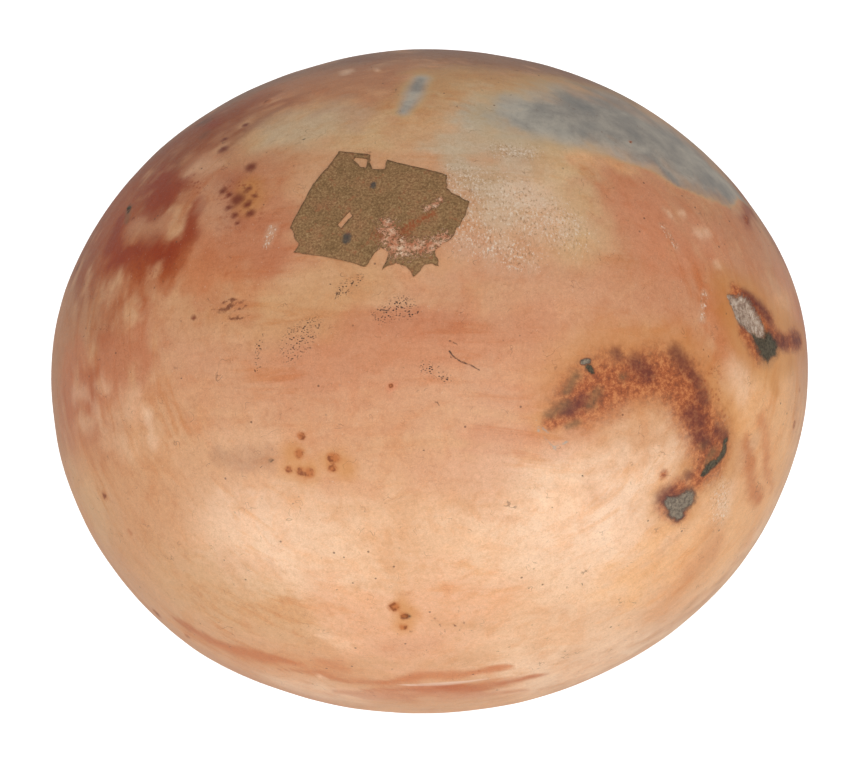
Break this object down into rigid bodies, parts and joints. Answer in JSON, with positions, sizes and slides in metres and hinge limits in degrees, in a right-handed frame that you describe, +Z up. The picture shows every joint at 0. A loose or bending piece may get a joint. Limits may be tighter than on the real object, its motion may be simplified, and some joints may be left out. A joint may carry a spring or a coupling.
{
  "type": "gourd maraca",
  "caption": "Hand-held rattle: an oval dried gourd with loose seeds inside and a paper label scrap on its crown, on a whittled wooden handle bound with cord.",
  "frame": {"origin": "middle of the handle's flat butt, on the surface that the maraca stands on", "axes": "+Z up the handle's axis to the gourd's crown; +X across the gourd's wider diameter; +Y towards the side that carries the label"},
  "size_m": [0.1399, 0.1226, 0.2844],
  "materials": {
    "rind": "burnished dried gourd rind, satin, mottled salmon, cream and rust with smoke-grey clouds",
    "handle_wood": "hand-whittled hardwood, oiled and worn",
    "peg_wood": "split, dry, unfinished",
    "pitch": "dark plant pitch, slightly glossy",
    "cord": "twisted cotton cord, aged and dusty",
    "label_paper": "old torn paper, matt, glue-stained",
    "seed": "hard dark seed coat, smooth"
  },
  "bodies": {
    "rattle": {"gourd_shell": "rind", "handle": "handle_wood", "neck_peg_1": "peg_wood", "neck_peg_2": "peg_wood", "neck_peg_3": "peg_wood", "neck_peg_4": "peg_wood", "joint_seal": "pitch", "neck_binding": "cord", "label_remnant": "label_paper"},
    "seed_01": {"seed_01": "seed"},
    "seed_02": {"seed_02": "seed"},
    "seed_03": {"seed_03": "seed"},
    "seed_04": {"seed_04": "seed"},
    "seed_05": {"seed_05": "seed"},
    "seed_06": {"seed_06": "seed"},
    "seed_07": {"seed_07": "seed"},
    "seed_08": {"seed_08": "seed"},
    "seed_09": {"seed_09": "seed"},
    "seed_10": {"seed_10": "seed"},
    "seed_11": {"seed_11": "seed"},
    "seed_12": {"seed_12": "seed"},
    "seed_13": {"seed_13": "seed"},
    "seed_14": {"seed_14": "seed"},
    "seed_15": {"seed_15": "seed"},
    "seed_16": {"seed_16": "seed"},
    "seed_17": {"seed_17": "seed"},
    "seed_18": {"seed_18": "seed"},
    "seed_19": {"seed_19": "seed"},
    "seed_20": {"seed_20": "seed"},
    "seed_21": {"seed_21": "seed"},
    "seed_22": {"seed_22": "seed"},
    "seed_23": {"seed_23": "seed"},
    "seed_24": {"seed_24": "seed"},
    "seed_25": {"seed_25": "seed"},
    "seed_26": {"seed_26": "seed"}
  },
  "joints": [
    {"name": "seed_01_rise", "type": "slide", "parent": "rattle", "child": "seed_01", "axis": [0, 0, 1], "range_m": [0, 0.108]},
    {"name": "seed_02_rise", "type": "slide", "parent": "rattle", "child": "seed_02", "axis": [0, 0, 1], "range_m": [0, 0.108]},
    {"name": "seed_03_rise", "type": "slide", "parent": "rattle", "child": "seed_03", "axis": [0, 0, 1], "range_m": [0, 0.108]},
    {"name": "seed_04_rise", "type": "slide", "parent": "rattle", "child": "seed_04", "axis": [0, 0, 1], "range_m": [0, 0.108]},
    {"name": "seed_05_rise", "type": "slide", "parent": "rattle", "child": "seed_05", "axis": [0, 0, 1], "range_m": [0, 0.108]},
    {"name": "seed_06_rise", "type": "slide", "parent": "rattle", "child": "seed_06", "axis": [0, 0, 1], "range_m": [0, 0.108]},
    {"name": "seed_07_rise", "type": "slide", "parent": "rattle", "child": "seed_07", "axis": [0, 0, 1], "range_m": [0, 0.1]},
    {"name": "seed_08_rise", "type": "slide", "parent": "rattle", "child": "seed_08", "axis": [0, 0, 1], "range_m": [0, 0.1]},
    {"name": "seed_09_rise", "type": "slide", "parent": "rattle", "child": "seed_09", "axis": [0, 0, 1], "range_m": [0, 0.1]},
    {"name": "seed_10_rise", "type": "slide", "parent": "rattle", "child": "seed_10", "axis": [0, 0, 1], "range_m": [0, 0.1]},
    {"name": "seed_11_rise", "type": "slide", "parent": "rattle", "child": "seed_11", "axis": [0, 0, 1], "range_m": [0, 0.1]},
    {"name": "seed_12_rise", "type": "slide", "parent": "rattle", "child": "seed_12", "axis": [0, 0, 1], "range_m": [0, 0.1]},
    {"name": "seed_13_rise", "type": "slide", "parent": "rattle", "child": "seed_13", "axis": [0, 0, 1], "range_m": [0, 0.1]},
    {"name": "seed_14_rise", "type": "slide", "parent": "rattle", "child": "seed_14", "axis": [0, 0, 1], "range_m": [0, 0.1]},
    {"name": "seed_15_rise", "type": "slide", "parent": "rattle", "child": "seed_15", "axis": [0, 0, 1], "range_m": [0, 0.1]},
    {"name": "seed_16_rise", "type": "slide", "parent": "rattle", "child": "seed_16", "axis": [0, 0, 1], "range_m": [0, 0.087]},
    {"name": "seed_17_rise", "type": "slide", "parent": "rattle", "child": "seed_17", "axis": [0, 0, 1], "range_m": [0, 0.087]},
    {"name": "seed_18_rise", "type": "slide", "parent": "rattle", "child": "seed_18", "axis": [0, 0, 1], "range_m": [0, 0.087]},
    {"name": "seed_19_rise", "type": "slide", "parent": "rattle", "child": "seed_19", "axis": [0, 0, 1], "range_m": [0, 0.087]},
    {"name": "seed_20_rise", "type": "slide", "parent": "rattle", "child": "seed_20", "axis": [0, 0, 1], "range_m": [0, 0.087]},
    {"name": "seed_21_rise", "type": "slide", "parent": "rattle", "child": "seed_21", "axis": [0, 0, 1], "range_m": [0, 0.087]},
    {"name": "seed_22_rise", "type": "slide", "parent": "rattle", "child": "seed_22", "axis": [0, 0, 1], "range_m": [0, 0.087]},
    {"name": "seed_23_rise", "type": "slide", "parent": "rattle", "child": "seed_23", "axis": [0, 0, 1], "range_m": [0, 0.087]},
    {"name": "seed_24_rise", "type": "slide", "parent": "rattle", "child": "seed_24", "axis": [0, 0, 1], "range_m": [0, 0.087]},
    {"name": "seed_25_rise", "type": "slide", "parent": "rattle", "child": "seed_25", "axis": [0, 0, 1], "range_m": [0, 0.087]},
    {"name": "seed_26_rise", "type": "slide", "parent": "rattle", "child": "seed_26", "axis": [0, 0, 1], "range_m": [0, 0.087]}
  ]
}
